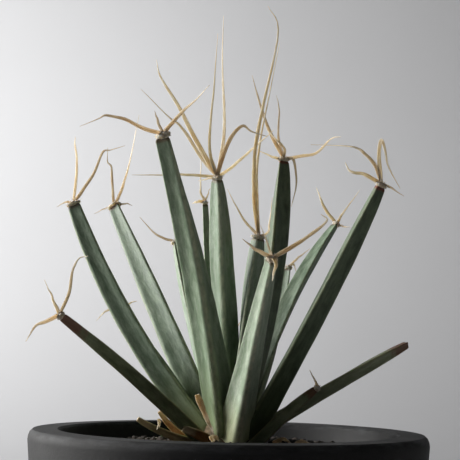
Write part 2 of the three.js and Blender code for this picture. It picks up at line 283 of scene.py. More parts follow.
def makeShaft(name, sides, rings):
    # a straight round shaft, one unit tall, pulled up ring by ring from a disc
    deselect()
    bpy.ops.mesh.primitive_circle_add(vertices=sides, radius=1, fill_type="NGON")
    shaft = bpy.context.object
    shaft.name = name
    bpy.ops.object.mode_set(mode="EDIT")
    bpy.ops.mesh.select_all(action="SELECT")
    for ring in range(rings):
        bpy.ops.mesh.extrude_region_move(TRANSFORM_OT_translate={"value": (0, 0, 1 / rings)})
    bpy.ops.object.mode_set(mode="OBJECT")
    tidyPiece(shaft)
    return shaft


def keepGrain(piece, grain, ridge):
    # the unbent place of each point in mm, and how near it lies to an edge, for the materials
    data = piece.data
    vectors = data.attributes.new("grain", "FLOAT_VECTOR", "POINT")
    vectors.data.foreach_set("vector", [c for point in grain for c in point])
    edges = data.attributes.new("ridge", "FLOAT", "POINT")
    edges.data.foreach_set("value", ridge)


# ---- pot ----

pot = dict(
    height=125, rimRadius=74, rimWidth=9.7, shoulderWidth=1.7, shoulderDrop=3.6, taper=11,
    wall=9, floor=7, footHeight=2.5, footWidth=9, drainRadius=8, ease=0.8, sides=128,
    # the last colour is for rubbed scuffs and a painted highlight on the rim's shoulder
    body="121213", dust="262729", scuffAndHighlightColour="55575a",
)


def potOutline():
    base = pot["rimRadius"] - pot["taper"]
    floorTop = pot["footHeight"] + pot["floor"]
    innerRim = pot["rimRadius"] - pot["shoulderWidth"] - pot["rimWidth"]
    innerFloor = base - pot["wall"]
    ease = pot["ease"]
    share = pot["wall"] / (pot["height"] - floorTop)
    return [
        (pot["drainRadius"], pot["footHeight"]),
        (base - pot["footWidth"], pot["footHeight"]),
        (base - pot["footWidth"], ease),
        (base - pot["footWidth"] + ease, 0),
        (base - ease, 0),
        (base, ease),
        (mix(base, pot["rimRadius"], 0.5), pot["height"] * 0.5),
        (pot["rimRadius"], pot["height"] - pot["shoulderDrop"]),
        (pot["rimRadius"] - pot["shoulderWidth"] * 0.12, pot["height"] - pot["shoulderDrop"] * 0.62),
        (pot["rimRadius"] - pot["shoulderWidth"] * 0.42, pot["height"] - pot["shoulderDrop"] * 0.26),
        (pot["rimRadius"] - pot["shoulderWidth"], pot["height"] - 0.05),
        (innerRim + ease, pot["height"]),
        (innerRim, pot["height"] - ease),
        (mix(innerFloor, innerRim, share), floorTop + pot["wall"]),
        (innerFloor - pot["wall"] / 2, floorTop),
        (pot["drainRadius"], floorTop),
        (pot["drainRadius"], pot["footHeight"]),
    ]


def turnRing(name, outline, sides):
    # a ring drawn from point to point of an outline, as on a wheel; the last point closes it
    deselect()
    radius, height = outline[0]
    bpy.ops.mesh.primitive_circle_add(vertices=sides, radius=radius * mm, location=(0, 0, height * mm))
    ring = bpy.context.object
    ring.name = name
    bpy.ops.object.transform_apply(location=True)
    bpy.ops.object.mode_set(mode="EDIT")
    bpy.ops.mesh.select_mode(type="VERT")
    bpy.ops.mesh.select_all(action="SELECT")
    for newRadius, newHeight in outline[1:]:
        step = (0, 0, (newHeight - height) * mm)
        bpy.ops.mesh.extrude_region_move(TRANSFORM_OT_translate={"value": step})
        factor = newRadius / radius
        bpy.ops.transform.resize(value=(factor, factor, 1), center_override=(0, 0, newHeight * mm))
        radius, height = newRadius, newHeight
    bpy.ops.object.mode_set(mode="OBJECT")
    tidyPiece(ring, 0.00002)
    return ring


def castPlastic():
    # matt charcoal cast with a fine sandy skin, dusty, and pale along the rim's shoulder from rubbed scuffs
    # and a painted highlight
    material, tree, shader = newMaterial("charcoalCast")
    place = objectSpace(tree)
    cloud = noiseFrom(tree, place, 28, 5, 0.6)
    colour = ramp(tree, cloud, [(0.36, shade("0f0f10")), (0.62, shade(pot["body"])), (0.8, shade("17181a"))])
    speck = noiseFrom(tree, place, 1500, 2, 0.6)
    colour = blendColours(tree, ramp(tree, speck, [(0.62, 0.0), (0.72, 0.35)]), colour, shade(pot["dust"]))
    split = addNode(tree, "SeparateXYZ")
    tree.links.new(place, split.inputs[0])
    # scuffed band with a painted highlight: from just under the shoulder to the rim's flat top, partly rubbed
    # scuffs and partly painted highlight
    high = maths(tree, "MULTIPLY", split.outputs["Z"], 1000)
    shoulderScuffHighlightBand = ramp(tree, maths(tree, "DIVIDE", maths(tree, "SUBTRACT", high, 110), 20),
                [(0.6, 0.0), (0.68, 0.4), (0.73, 0.5), (0.748, 0.15)])
    streak = noiseFrom(tree, stretched(tree, place, (60, 60, 260)), 1, 6, 0.65)
    scuffAndHighlight = maths(tree, "MULTIPLY", shoulderScuffHighlightBand, ramp(tree, streak, [(0.45, 0.0), (0.68, 1.0)]))
    colour = blendColours(tree, scuffAndHighlight, colour, shade(pot["scuffAndHighlightColour"]))
    tree.links.new(colour, shader.inputs["Base Color"])
    tree.links.new(ramp(tree, cloud, [(0.3, 0.62), (0.75, 0.8)]), shader.inputs["Roughness"])
    shader.inputs["Specular IOR Level"].default_value = 0.35
    grit = noiseFrom(tree, place, 900, 4, 0.65)
    addBump(tree, shader, grit, 0.00025, 0.35)
    return material


def makePot():
    body = turnRing("potBody", potOutline(), pot["sides"])
    smoothPiece(body, 38)
    body.data.materials.append(castPlastic())
    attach(body, "root")
    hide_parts("pot")


makePot()
print("pot turned")


# ---- soil ----

soil = dict(
    drop=9, moundDrop=4, rings=16, sides=96, lump=0.9, grains=1100, clearance=0.3, footEase=5,
    dark="17120f", mid="2c221b", light="4a3b2e", stone="a79c8e",
)


def soilLevel(radius, edge):
    return mix(pot["height"] - soil["moundDrop"], pot["height"] - soil["drop"], (radius / edge) ** 2)


def innerRadiusAt(height):
    floorTop = pot["footHeight"] + pot["floor"]
    innerRim = pot["rimRadius"] - pot["shoulderWidth"] - pot["rimWidth"]
    innerFloor = pot["rimRadius"] - pot["taper"] - pot["wall"]
    return mix(innerFloor, innerRim, (height - floorTop) / (pot["height"] - floorTop))


def soilMaterial():
    material, tree, shader = newMaterial("grittySoil")
    place = objectSpace(tree)
    crumb = noiseFrom(tree, place, 420, 6, 0.7)
    tone = ownAttribute(tree, "tone", "Fac")
    tones = [(0.35, shade(soil["dark"])), (0.6, shade(soil["mid"])), (0.78, shade(soil["light"]))]
    colour = ramp(tree, crumb, tones)
    colour = blendColours(tree, tone, colour, shade(soil["stone"]))
    tree.links.new(colour, shader.inputs["Base Color"])
    shader.inputs["Roughness"].default_value = 0.95
    addBump(tree, shader, noiseFrom(tree, place, 900, 4, 0.7), 0.0006, 0.8)
    return material


def keepTone(piece, value):
    tone = piece.data.attributes.new("tone", "FLOAT", "POINT")
    tone.data.foreach_set("value", [value] * len(piece.data.vertices))


def makeSoil():
    top = pot["height"] - soil["drop"]
    gap = soil["clearance"]
    edge = innerRadiusAt(top) - gap
    bottom = pot["footHeight"] + pot["floor"] + gap
    foot = innerRadiusAt(bottom) - soil["footEase"]
    low = bottom + pot["wall"]
    deselect()
    bpy.ops.mesh.primitive_circle_add(vertices=soil["sides"], radius=foot * mm,
                                      fill_type="NGON", location=(0, 0, bottom * mm))
    body = bpy.context.object
    body.name = "soilBody"
    bpy.ops.object.transform_apply(location=True)
    bpy.ops.object.mode_set(mode="EDIT")
    bpy.ops.mesh.select_all(action="SELECT")
    steps = [(innerRadiusAt(low) - gap, low), (edge, top)]
    steps += [(edge * (1 - (i + 1) / (soil["rings"] + 1)), None) for i in range(soil["rings"])]
    radius, height = foot, bottom
    for newRadius, newHeight in steps:
        if newHeight is None:
            newHeight = soilLevel(newRadius, edge)
        bpy.ops.mesh.extrude_region_move(TRANSFORM_OT_translate={"value": (0, 0, (newHeight - height) * mm)})
        factor = newRadius / radius
        bpy.ops.transform.resize(value=(factor, factor, 1), center_override=(0, 0, newHeight * mm))
        radius, height = newRadius, newHeight
    bpy.ops.mesh.poke()
    bpy.ops.object.mode_set(mode="OBJECT")
    tidyPiece(body)
    applyModifier(body, "SUBSURF", levels=1, render_levels=1)
    for vertex in body.data.vertices:
        distance = math.hypot(vertex.co.x, vertex.co.y) / mm
        if vertex.co.z > (top - 2) * mm and distance < edge - 1:
            rough = noise.noise(vertex.co * 160) * 0.7 + noise.noise(vertex.co * 420) * 0.5
            vertex.co.z += rough * soil["lump"] * mm
    smoothPiece(body)
    keepTone(body, 0)
    material = soilMaterial()
    body.data.materials.append(material)

    # loose grains: one chipped crumb, copied with its own size, turn and tone
    deselect()
    bpy.ops.mesh.primitive_ico_sphere_add(subdivisions=1, radius=1)
    crumb = bpy.context.object
    crumb.name = "crumb"
    crumb.data.materials.append(material)
    grains = []
    for i in range(soil["grains"]):
        grain = copyOf(crumb, "grain")
        around = dice.uniform(0, math.tau)
        out = 9 + (edge - 12) * math.sqrt(dice.random())
        size = dice.choice((0.5, 0.7, 0.9, 1.2, 1.7)) * dice.uniform(0.8, 1.25)
        squash = (dice.uniform(0.7, 1.3), dice.uniform(0.7, 1.3), dice.uniform(0.5, 0.9))
        spin = Matrix.Rotation(dice.uniform(0, math.tau), 4, "Z")
        turn = spin @ Matrix.Rotation(dice.uniform(-0.7, 0.7), 4, "X")
        level = soilLevel(out, edge) + size * 0.3
        place = Vector((out * math.cos(around), out * math.sin(around), level)) * mm
        for vertex in grain.data.vertices:
            chip = 1 + 0.25 * noise.noise(vertex.co * 1.7 + Vector((i, 0, 0)))
            local = Vector([c * s * chip * size * mm for c, s in zip(vertex.co, squash)])
            vertex.co = turn @ local + place
        pale = dice.random()
        keepTone(grain, 0.75 if pale > 0.965 else (0.25 if pale > 0.85 else dice.uniform(0, 0.08)))
        grains.append(grain)
    loose = joinPieces(grains, "soilGrains")
    bpy.data.objects.remove(crumb)
    for piece in (body, loose):
        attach(piece, "root")
    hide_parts("potting_soil")


makeSoil()
print("soil filled and strewn")


# ---- stem ----

stem = dict(radius=10.5, topRadius=6, rise=14, rootLength=62, rootTip=1.5, sides=48)


def stemRadiusAt(height):
    neck = pot["height"] - soil["moundDrop"]
    share = min(max((height - neck) / (pot["height"] + stem["rise"] - neck), 0), 1)
    return mix(stem["radius"], stem["topRadius"], share)


def barkMaterial():
    material, tree, shader = newMaterial("corkyStem")
    place = objectSpace(tree)
    flakes = noiseFrom(tree, stretched(tree, place, (1, 1, 3)), 260, 5, 0.6)
    colour = ramp(tree, flakes, [(0.35, shade("3d3122")), (0.6, shade("6f5d43")), (0.8, shade("9a8a68"))])
    tree.links.new(colour, shader.inputs["Base Color"])
    shader.inputs["Roughness"].default_value = 0.9
    addBump(tree, shader, flakes, 0.0008, 0.8)
    return material


def makeStem():
    neck = pot["height"] - soil["moundDrop"]
    top = pot["height"] + stem["rise"]
    root = stem["rootLength"]
    dome = stem["topRadius"] / 3
    outline = [
        (stem["rootTip"], neck - root), (stem["radius"] * 0.55, neck - root * 0.6),
        (stem["radius"] * 0.85, neck - root * 0.25), (stem["radius"], neck - root * 0.08),
        (stem["radius"], neck), (stemRadiusAt(mix(neck, top, 0.5)), mix(neck, top, 0.5)),
        (stemRadiusAt(top - dome), top - dome), (stem["topRadius"] * 0.55, top - dome * 0.3),
        (0.2, top),
    ]
    body = turnRing("stemBody", outline, stem["sides"])
    pick(body)
    bpy.ops.object.mode_set(mode="EDIT")
    bpy.ops.mesh.select_all(action="DESELECT")
    bpy.ops.mesh.select_mode(type="EDGE")
    bpy.ops.mesh.select_non_manifold()
    bpy.ops.mesh.edge_face_add()
    bpy.ops.object.mode_set(mode="OBJECT")
    applyModifier(body, "SUBSURF", levels=1, render_levels=1)
    for vertex in body.data.vertices:
        bark = 1 + 0.06 * noise.noise(vertex.co * 300)
        vertex.co.x *= min(bark, 1)
        vertex.co.y *= min(bark, 1)
    smoothPiece(body)
    body.data.materials.append(barkMaterial())
    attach(body, "root")
    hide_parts("stem")


makeStem()
print("stem turned")


# ---- tubercles ----

# heading: degrees from +X towards +Y; rise: mm from the rim; lean: degrees from upright at base and tip
tubercles = [
    dict(name="01", heading=226, turn=0, lean=(54, 60), rise=-7, length=84, width=6.6,
         twist=(1, -3), tip=0.56, full=3, flare=0.5, skin="old"),
    dict(name="02", heading=176, turn=-2, lean=(42, 22), rise=-1.5, length=102, width=11,
         twist=(11, 25), tip=0.6, full=3.5, flare=0.5, skin="grown"),
    dict(name="03", heading=139, turn=-2, lean=(32, 34), rise=-1.5, length=109, width=13.2,
         twist=(53, 42), tip=0.52, full=2.5, flare=0, skin="grown"),
    dict(name="04", heading=115, turn=0, lean=(37, 30), rise=0, length=91, width=8.4,
         twist=(17, 20), tip=0.48, full=5.5, flare=0, skin="pale"),
    dict(name="05", heading=249, turn=-3, lean=(23, 36), rise=-1, length=115, width=13, inset=2.5,
         twist=(10, 67), tip=0.48, full=2, flare=3.5, skin="front"),
    dict(name="06", heading=250, turn=0, lean=(6, 15), rise=6, length=87.5, width=10.8, inset=4.5,
         twist=(3, 28), tip=0.44, full=6.5, flare=0, skin="pale"),
    dict(name="07", heading=120, turn=-2, lean=(15, 8), rise=6, length=84, width=6,
         twist=(2, -18), tip=0.46, full=1.5, flare=0, skin="pale"),
    dict(name="08", heading=312, turn=1, lean=(4, 9), rise=5.5, length=66, width=11,
         twist=(31, 70), tip=0.58, full=4, flare=0, skin="pale"),
    # tubercle_09 and tubercle_12 take a skin darkened as painted shade
    dict(name="09", heading=21, turn=-2, lean=(16, 2), rise=9.5, length=96, width=12.4,
         twist=(25, -21), tip=0.44, full=5.5, flare=0, skin="paintedShade"),
    # tubercle_10 takes a skin lightened as painted light
    dict(name="10", heading=283, turn=1, lean=(35, 38), rise=-4, length=78, width=12.4,
         twist=(-5, -14), tip=0.38, full=1.5, flare=6, skin="paintedLight"),
    dict(name="11", heading=45, turn=-2, lean=(21, 44), rise=1, length=99, width=8.6,
         twist=(28, -3), tip=0.44, full=4.5, flare=0, skin="grown"),
    dict(name="12", heading=323, turn=1, lean=(34, 29), rise=-2.5, length=105, width=9.8,
         twist=(31, 38), tip=0.52, full=6, flare=3, skin="paintedShade"),
    dict(name="13", heading=15, turn=3, lean=(59, 63), rise=-2, length=74, width=6.8,
         twist=(-30, 2), tip=0.6, full=7, flare=1.5, skin="withered"),
    dict(name="14", heading=322, turn=-6, lean=(47, 57), rise=-7.5, length=39, width=5.4,
         twist=(4, -2), tip=0.56, full=5.5, flare=2, skin="withered"),
    dict(name="15", heading=58, turn=-3, lean=(40, 14), rise=-3, length=76, width=7.4,
         twist=(0, 0), tip=0.5, full=4, flare=0, skin="grown"),
    dict(name="16", heading=160, turn=1, lean=(31, 45), rise=-5, length=62, width=7.6,
         twist=(0, 0), tip=0.5, full=4, flare=0, skin="grown"),
    dict(name="17", heading=88, turn=4, lean=(46, 62), rise=-7, length=76, width=8.4,
         twist=(0, 0), tip=0.5, full=4, flare=1, skin="old"),
]
stubs = [
    dict(name="stub_1", heading=224, turn=-40, lean=(84, 60), rise=-5, length=31, width=4.4,
         twist=(0, 0), tip=0.6, full=3, flare=0, skin="dry"),
    dict(name="stub_2", heading=206, turn=-14, lean=(76, 34), rise=-6, length=23, width=3.8,
         twist=(0, 0), tip=0.6, full=3, flare=0, skin="rust"),
    dict(name="stub_3", heading=236, turn=-26, lean=(62, 72), rise=-5, length=17, width=5.4,
         twist=(0, 0), tip=0.6, full=3, flare=0, skin="amber"),
]
# rounds: how round the keel and the two inner edges are, and dip: how hollow the faces, as
# shares of the width; crowd: how much closer the rings stand towards the tip
growth = dict(
    baseDepth=1.5, depth=0.86, rounds=(0.16, 0.09, 0.09), dip=0.06, flareFade=6, sway=0.4,
    sides=24, rings=44, crowd=1.35, carriedOn=0.3, endShare=0.85,
)

# body and bloom: the skin; foot and tip: the ends; brown: how much of the length has dried
skins = dict(
    grown=dict(body="566a52", bloom="8c9c86", foot="7b875f",
               tip="5b5544", edge="b3b896", brown=0.012, spots=0.05),
    pale=dict(body="6b8064", bloom="99a693", foot="a7b088",
              tip="6f6a52", edge="ccd0b4", brown=0.012, spots=0.03),
    # a lighter copy of the green skin: painted light, for tubercle_10's lit face
    paintedLight=dict(body="82947a", bloom="b4c0ab", foot="b9bd90",
                tip="6f6a52", edge="d6d6bc", brown=0.012, spots=0.03),
    front=dict(body="667a5e", bloom="94a48b", foot="6a7850",
               tip="6b5f48", edge="b9bd9c", brown=0.012, spots=0.04),
    # a darker copy of the green skin: painted shade, for tubercle_09 and tubercle_12
    paintedShade=dict(body="43523a", bloom="6b7a60", foot="5b6742",
                tip="6b3a24", edge="8f9472", brown=0.012, spots=0.06),
    withered=dict(body="7a8462", bloom="9da384", foot="7f8460",
                  tip="7a5c46", edge="aca27c", brown=0.12, spots=0.25),
    old=dict(body="5f6848", bloom="848c6c", foot="6f7350",
             tip="6f4f3a", edge="9a9068", brown=0.13, spots=0.3),
    rust=dict(body="a06c40", bloom="cfa070", foot="7a5232",
              tip="d8b684", edge="e0bc8c", brown=0.2, spots=0.3),
    amber=dict(body="7d5230", bloom="a5713f", foot="6b4a2c",
               tip="b5a488", edge="cdb48a", brown=0.3, spots=0.3),
    dry=dict(body="8d7a52", bloom="b7a781", foot="7a6843",
             tip="c0ab80", edge="c9b68c", brown=0.2, spots=0.5),
)


def lineFrame(heading, lean, twist):
    h, l = math.radians(heading), math.radians(lean)
    along = Vector((math.sin(l) * math.cos(h), math.sin(l) * math.sin(h), math.cos(l)))
    keel = Vector((math.cos(l) * math.cos(h), math.cos(l) * math.sin(h), -math.sin(l)))
    keel.rotate(Quaternion(along, math.radians(twist)))
    return along, keel, keel.cross(along)


def frameAt(spec, t):
    return lineFrame(spec["heading"] + spec["turn"] * t, mix(*spec["lean"], t), mix(*spec["twist"], t))


def widthAt(spec, t):
    tapered = spec["width"] * (1 - (1 - spec["tip"]) * t ** spec["full"])
    return tapered + spec["flare"] * (1 - t) ** growth["flareFade"]


def walkLine(spec, places):
    # centre and frame at each share of the length, walked in short steps, in mm
    start = pot["height"] + spec["rise"]
    out = stemRadiusAt(start) - growth["baseDepth"] - spec.get("inset", 0)
    h = math.radians(spec["heading"])
    point = Vector((out * math.cos(h), out * math.sin(h), start))
    stations, reached = [], 0.0
    for place in places:
        for i in range(4):
            t = reached + (place - reached) * (i + 0.5) / 4
            point = point + frameAt(spec, t)[0] * (spec["length"] * (place - reached) / 4)
        reached = place
        stations.append((point.copy(), frameAt(spec, place)))
    return stations


def makeSection():
    # three-sided, for a width of 1: keel first, edges rounded, faces a little hollow;
    # each point comes with its nearness to an edge
    depth = growth["depth"]
    corners = [Vector((0, depth * 2 / 3)), Vector((-0.5, -depth / 3)), Vector((0.5, -depth / 3))]
    arcs = []
    for corner, radius in zip(corners, growth["rounds"]):
        outward = corner.normalized()
        middle = corner - outward * 2 * radius
        start = math.atan2(outward.y, outward.x)
        turns = [start + math.radians(step) for step in (-50, -17, 17, 50)]
        arcs.append([middle + Vector((math.cos(turn), math.sin(turn))) * radius for turn in turns])
    section = []
    for side, arc in enumerate(arcs):
        section += list(zip(arc, (0.45, 1, 1, 0.45)))
        first, last = arc[-1], arcs[(side + 1) % 3][0]
        inward = Vector((first.y - last.y, last.x - first.x)).normalized()
        for s in (0.2, 0.4, 0.6, 0.8):
            section.append((first.lerp(last, s) + inward * growth["dip"] * 4 * s * (1 - s), 0))
    return section


def skinMaterial(name, look):
    # waxy skin with a pale bloom in clouds and fine flecks, a thin pale line on the edges; grain is in mm
    material, tree, shader = newMaterial(name)
    grain = ownAttribute(tree, "grain")
    ridge = ownAttribute(tree, "ridge", "Fac")
    share = ownAttribute(tree, "share", "Fac")
    cloud = noiseFrom(tree, stretched(tree, grain, (1, 1, 0.3)), 0.5, 5, 0.65)
    bloom = ramp(tree, cloud, [(0.36, 0.0), (0.62, 1.0)])
    colour = blendColours(tree, bloom, shade(look["body"]), shade(look["bloom"]))
    fleck = noiseFrom(tree, stretched(tree, grain, (1, 1, 0.4)), 3.5, 3, 0.6)
    colour = blendColours(tree, ramp(tree, fleck, [(0.4, 0.35), (0.6, 0.0)]), colour, shade(look["body"]))
    footShare = ramp(tree, share, [(0.0, 1.0), (0.28, 0.0)])
    colour = blendColours(tree, footShare, colour, shade(look["foot"]))
    speck = noiseFrom(tree, grain, 2.4, 2, 0.5)
    spotted = maths(tree, "MULTIPLY", ramp(tree, speck, [(0.66, 0.0), (0.71, 1.0)]), look["spots"] * 2)
    colour = blendColours(tree, spotted, colour, shade("5f4a34"))
    # the edges get a thin pale line, patchy along their length
    worn = noiseFrom(tree, stretched(tree, grain, (1, 1, 0.5)), 0.8, 2, 0.5)
    thin = maths(tree, "POWER", ridge, 3)
    edge = maths(tree, "MULTIPLY", thin, ramp(tree, worn, [(0.35, 0.2), (0.6, 0.75)]))
    colour = blendColours(tree, edge, colour, shade(look["edge"]))
    # the tip dries from its end downwards, along an uneven line
    uneven = maths(tree, "MULTIPLY", noiseFrom(tree, grain, 0.6, 3), look["brown"] * 0.8)
    dried = maths(tree, "ADD", share, uneven)
    first = 1 - look["brown"] * 0.7
    last = min(first + look["brown"] * 0.45, 1)
    colour = blendColours(tree, ramp(tree, dried, [(first, 0.0), (last, 1.0)]), colour, shade(look["tip"]))
    tree.links.new(colour, shader.inputs["Base Color"])
    tree.links.new(ramp(tree, cloud, [(0.3, 0.45), (0.7, 0.65)]), shader.inputs["Roughness"])
    shader.inputs["Subsurface Weight"].default_value = 0.05
    shader.inputs["Subsurface Radius"].default_value = (0.4, 1.0, 0.3)
    shader.inputs["Subsurface Scale"].default_value = 0.002
    wrinkle = noiseFrom(tree, stretched(tree, grain, (1.6, 1.6, 0.5)), 1, 5, 0.6)
    addBump(tree, shader, wrinkle, 0.0004, 0.45)
    return material


skinMaterials = {name: skinMaterial("skin_" + name, look) for name, look in skins.items()}


def bendTubercle(template, section, spec, name):
    piece = copyOf(template, name)
    length, seed = spec["length"], spec["heading"]
    rings = growth["rings"]
    places = [1 - (1 - i / rings) ** growth["crowd"] for i in range(rings + 1)]
    stations = walkLine(spec, places)
    # the end is carried on into the areole
    stations[-1] = (stations[-1][0] + stations[-1][1][0] * growth["carriedOn"], stations[-1][1])
    grain, ridge, shares = [], [], []
    for vertex in piece.data.vertices:
        i = round(vertex.co.z * rings)
        t = places[i]
        centre, (along, keel, across) = stations[i]
        width = widthAt(spec, t) * (1 + 0.03 * noise.noise(Vector((t * length * 0.07, seed, 0))))
        if i == rings:
            width *= growth["endShare"]
        k = round(math.atan2(vertex.co.y, vertex.co.x) / math.tau * growth["sides"])
        place, near = section[k % growth["sides"]]
        a, b, rise = place.x * width, place.y * width, length * t
        wave = 1 + 0.03 * noise.noise(Vector((a * 0.5, b * 0.5 + seed, rise * 0.12)))
        sway = growth["sway"] * math.sin(math.pi * t) * noise.noise(Vector((seed, t * 2.2, 3)))
        vertex.co = (centre + across * (a * wave + sway) + keel * (b * wave)) * mm
        grain.append((a, b + seed, rise))
        ridge.append(near)
        shares.append(t)
    keepGrain(piece, grain, ridge)
    kept = piece.data.attributes.new("share", "FLOAT", "POINT")
    kept.data.foreach_set("value", shares)
    applyModifier(piece, "SUBSURF", levels=1, render_levels=1)
    smoothPiece(piece)
    piece.data.materials.append(skinMaterials[spec["skin"]])
    return piece


def makeTubercles():
    template = makeShaft("straightTubercle", growth["sides"], growth["rings"])
    section = makeSection()
    for spec in tubercles + stubs:
        isStub = spec["name"].startswith("stub")
        node = spec["name"] if isStub else "tubercle_" + spec["name"]
        piece = bendTubercle(template, section, spec, node + "_skin")
        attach(piece, "root")
        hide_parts(node)
    bpy.data.objects.remove(template)


makeTubercles()
print("tubercles grown")


# ---- areoles and spines ----

# each spine: width in mm, age (0 fresh straw, 1 weathered grey), and its points in mm from the areole
spines = {
    "01": [(1.6, 0.3, [(-2, -1, 5), (-5, -2, 11)]),
           (1.3, 0.6, [(3, -1, 7), (4, -2, 14), (6, -3, 18), (9, -3, 19)]),
           (1.7, 0.7, [(-3, -2, -2), (-7, -3, -4), (-10, -3, -9)])],
    "02": [(1.3, 0.5, [(1, -1, 13), (0, -2, 23), (0, -2, 26)]),
           (1.6, 0.7, [(3, 2, 5), (7, 3, 12), (10, 4, 21), (13, 4, 22), (19, 4, 24)]),
           (1.2, 0.8, [(-3, -1, 0), (-6, -2, -2)])],
    "03": [(1.4, 0.6, [(-1, 1, 7), (-2, 2, 17), (-4, 3, 20), (-4, 3, 26)]),
           (1.6, 0.7, [(2, 1, 5), (4, 2, 12), (6, 3, 22), (9, 4, 41)]),
           (1.2, 0.7, [(-4, 2, -1), (-9, 4, -3)]), (1, 0.5, [(5, -1, 1), (8, -2, 0)])],
    "04": [(1.4, 0.6, [(-8, 2, 3), (-16, 3, 11)]), (1.3, 0.4, [(3, -2, 0), (5, -3, -6), (5, -3, -13)])],
    "05": [(1.7, 0.8, [(-6, -2, 1), (-13, -3, 4), (-19, -3, 5), (-21, -3, 4), (-27, -4, 1)]),
           (1.2, 0.7, [(-2, 0, 5), (-3, 1, 8)]),
           (1.6, 0.7, [(3, 1, 4), (6, 2, 8), (10, 3, 12), (15, 4, 18)])],
    "06": [(2.1, 0, [(-7, 1, 12), (-15, 2, 27), (-22, 3, 38), (-24, 3, 45)]),
           (1.6, 0.2, [(-7, 3, 9), (-14, 5, 20), (-18, 6, 23), (-30, 9, 35)]),
           (1.4, 0, [(-3, 0, 12), (-2, 1, 34), (-1, 1, 55)]),
           (1.7, 0.1, [(2, 1, 14), (2, 2, 27), (1, 3, 44), (1, 4, 63)]),
           (2, 0.6, [(2, -1, 8), (5, -1, 15), (9, -2, 19), (12, -2, 17), (18, -3, 15)]),
           (1.4, 0.1, [(5, 3, 4), (11, 5, 10), (17, 7, 16), (21, 8, 20)]),
           (1.3, 0, [(-10, 2, 1), (-20, 3, 1), (-32, 5, 1)]), (1, 0.2, [(-4, -1, -1), (-7, -2, -2)])],
    "07": [(1.2, 0.2, [(-2, 1, 6), (-2, 2, 22)]), (1, 0.4, [(1, 0, 3), (2, 1, 6)]),
           (1.7, 0.1, [(-3, -1, 0), (-5, -2, -1)])],
    "08": [(2, 0, [(-2, -1, 15), (-2, -2, 30), (1, -2, 50), (6, -3, 78), (2, -3, 88)]),
           (1.6, 0.1, [(-1, 1, 14), (-1, 2, 28), (2, 3, 48), (7, 5, 76)]),
           (1.3, 0.1, [(-6, 2, 7), (-12, 3, 18)]), (1.3, 0.3, [(3, 1, 1), (4, 2, 5), (5, 2, 15)])],
    "09": [(1.7, 0.6, [(-6, -1, 12), (-10, -2, 23), (-13, -2, 33)]),
           (1.4, 0.3, [(0, -1, 4), (-4, -2, 8), (-7, -3, 11)]),
           (1.6, 0.1, [(-3, -1, 0), (-6, -2, 1), (-11, -3, 3)]),
           (1.3, 0.7, [(-2, 1, 9), (-2, 1, 20), (-3, 2, 26)]),
           (1.7, 0.5, [(5, 1, 1), (13, 2, 3), (19, 2, 9), (23, 3, 10)]),
           (1.4, 0.5, [(4, -2, -1), (5, -4, -10), (3, -6, -20)])],
    "10": [(1.6, 0.5, [(-6, -1, 3), (-10, -1, 6)]), (1.3, 0.2, [(-1, 1, 3), (-4, 2, 11)]),
           (1.7, 0.5, [(7, 0, 4), (14, 1, 9), (18, 1, 13), (16, 1, 15)]),
           (2.1, 0.1, [(1, -3, -2), (0, -4, -8)])],
    "11": [(1.4, 0.3, [(3, 1, 5), (10, 2, 15)]), (1.2, 0.8, [(3, 1, -1), (6, 2, -1)]),
           (1.6, 0.1, [(-5, -1, 6), (-7, -1, 11), (-9, -2, 15)])],
    "12": [(1.6, 0.5, [(-2, 0, 6), (-5, 0, 10), (-8, -1, 12), (-12, -1, 13), (-25, -2, 13)]),
           (1.7, 0.2, [(-1, -1, 11), (0, -2, 15), (2, -2, 6), (6, -3, -2)]),
           (1.7, 0.1, [(-6, -1, 3), (-11, -1, 4), (-13, -2, 7)]), (1.3, 0.7, [(3, 1, -1), (8, 1, -4)])],
    "14": [(1.2, 0.5, [(-1, -1, 2), (-3, -1, 6)])],
    "15": [(1.3, 0.6, [(4, 1, 4), (9, 1, 8)]), (1.3, 0.2, [(2, -1, 1), (3, -2, -2)])],
    "16": [(1.3, 0.5, [(-4, 0, 0), (-8, 0, -4)]), (1.2, 0.3, [(5, -1, 3), (8, -1, 4)])],
    "17": [(1.3, 0.6, [(-3, 2, 2), (-6, 4, 5)]), (1.2, 0.6, [(3, 1, 3), (5, 2, 8)])],
}
blade = dict(
    sides=6, rings=26, thin=0.3, tip=0.12, wobble=0.35, halfShare=0.53, thinnest=0.09,
    clearance=0.3, pad=1.7, padShare=0.43, hairs=46, hair=0.11, scrapShare=1.8,
)


def paperMaterial():
    # papery spines: straw when fresh, grey-brown when old, streaked lengthwise, amber at the foot
    material, tree, shader = newMaterial("paperySpine")
    grain = ownAttribute(tree, "grain")
    age = ownAttribute(tree, "age", "Fac")
    share = ownAttribute(tree, "share", "Fac")
    streak = noiseFrom(tree, stretched(tree, grain, (5, 5, 0.25)), 1, 4, 0.6)
    fresh = ramp(tree, streak, [(0.35, shade("b98a54")), (0.55, shade("dcbc8c")), (0.72, shade("f3e6cc"))])
    worn = ramp(tree, streak, [(0.35, shade("6b5340")), (0.58, shade("9d8064")), (0.75, shade("d4c0a4"))])
    colour = blendColours(tree, age, fresh, worn)
    colour = blendColours(tree, ramp(tree, share, [(0.0, 0.5), (0.1, 0.0)]), colour, shade("8c6a3c"))
    tree.links.new(colour, shader.inputs["Base Color"])
    shader.inputs["Roughness"].default_value = 0.55
    # thin enough for light to come through
    shader.inputs["Subsurface Weight"].default_value = 0.7
    shader.inputs["Subsurface Radius"].default_value = (1, 0.8, 0.6)
    shader.inputs["Subsurface Scale"].default_value = 0.004
    addBump(tree, shader, streak, 0.0002, 0.5)
    return material


